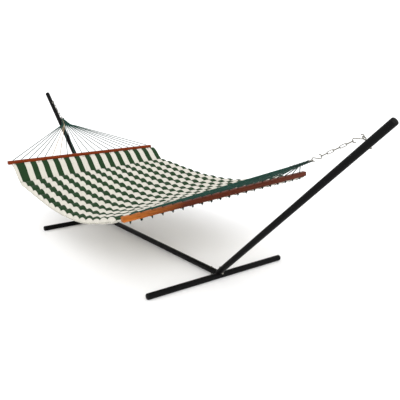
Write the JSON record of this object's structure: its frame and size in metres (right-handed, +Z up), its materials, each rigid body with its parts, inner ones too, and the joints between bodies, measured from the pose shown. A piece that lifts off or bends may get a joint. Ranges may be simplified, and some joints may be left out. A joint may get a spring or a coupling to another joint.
{
  "type": "hammock on stand",
  "caption": "Quilted spreader-bar hammock with wooden bars and fanned cords, hung by S-hooks and chains between the slanted uprights of a two-footed tubular steel stand.",
  "frame": {"origin": "on the floor, midway between the two feet, on the stand's centre plane", "axes": "+X along the stand towards the end with the longer chain, +Y across it, +Z up"},
  "size_m": [4.5988, 1.6002, 1.2573],
  "materials": {
    "black_steel": "black powder coat, semi-gloss",
    "black_plastic": "moulded black plastic, satin",
    "zinc_steel": "zinc plated, slightly dulled",
    "green_rope": "dark green spun polyester cord, matte",
    "oiled_wood": "reddish-brown oiled hardwood",
    "quilted_fabric": "woven polyester in lengthwise dark green and cream stripes, quilted across in puffed rows"
  },
  "bodies": {
    "stand": {"beam": "black_steel", "foot_tube_left": "black_steel", "foot_cap_left_front": "black_plastic", "foot_cap_left_back": "black_plastic", "elbow_left": "black_steel", "upright_left": "black_steel", "upright_cap_left": "black_plastic", "bolt_beam_left": "zinc_steel", "nut_beam_left": "zinc_steel", "bolt_upright_left": "zinc_steel", "nut_upright_left": "zinc_steel", "eye_bolt_left": "zinc_steel", "eye_nut_left": "zinc_steel", "foot_tube_right": "black_steel", "foot_cap_right_front": "black_plastic", "foot_cap_right_back": "black_plastic", "elbow_right": "black_steel", "upright_right": "black_steel", "upright_cap_right": "black_plastic", "bolt_beam_right": "zinc_steel", "nut_beam_right": "zinc_steel", "bolt_upright_right": "zinc_steel", "nut_upright_right": "zinc_steel", "eye_bolt_right": "zinc_steel", "eye_nut_right": "zinc_steel"},
    "chain_left": {"s_hook_upper_left": "zinc_steel", "chain_link_left_1": "zinc_steel", "chain_link_left_2": "zinc_steel", "chain_link_left_3": "zinc_steel", "s_hook_lower_left": "zinc_steel"},
    "hammock": {"clew_ring_left": "zinc_steel", "clew_left": "green_rope", "spreader_bar_left": "oiled_wood", "clew_ring_right": "zinc_steel", "clew_right": "green_rope", "spreader_bar_right": "oiled_wood", "quilted_bed": "quilted_fabric"},
    "chain_right": {"s_hook_upper_right": "zinc_steel", "chain_link_right_1": "zinc_steel", "chain_link_right_2": "zinc_steel", "chain_link_right_3": "zinc_steel", "chain_link_right_4": "zinc_steel", "chain_link_right_5": "zinc_steel", "s_hook_lower_right": "zinc_steel"}
  },
  "joints": [
    {"name": "swing", "type": "hinge", "parent": "stand", "child": "chain_left", "pos_m": [-2.11395, 0, 1.1525], "axis": [1, 0, 0], "range_deg": [-20, 20]},
    {"name": "tip", "type": "hinge", "parent": "chain_left", "child": "hammock", "pos_m": [-1.90173, 0, 0.989], "axis": [1, 0, 0], "range_deg": [-12, 12]},
    {"name": "chain_right_stays_in_line", "type": "hinge", "parent": "hammock", "child": "chain_right", "pos_m": [1.7949, 0, 0.989], "axis": [1, 0, 0], "range_deg": [-12, 12]}
  ],
  "couplings": [
    {"joint": "chain_right_stays_in_line", "follows": "tip", "ratio": -1}
  ]
}
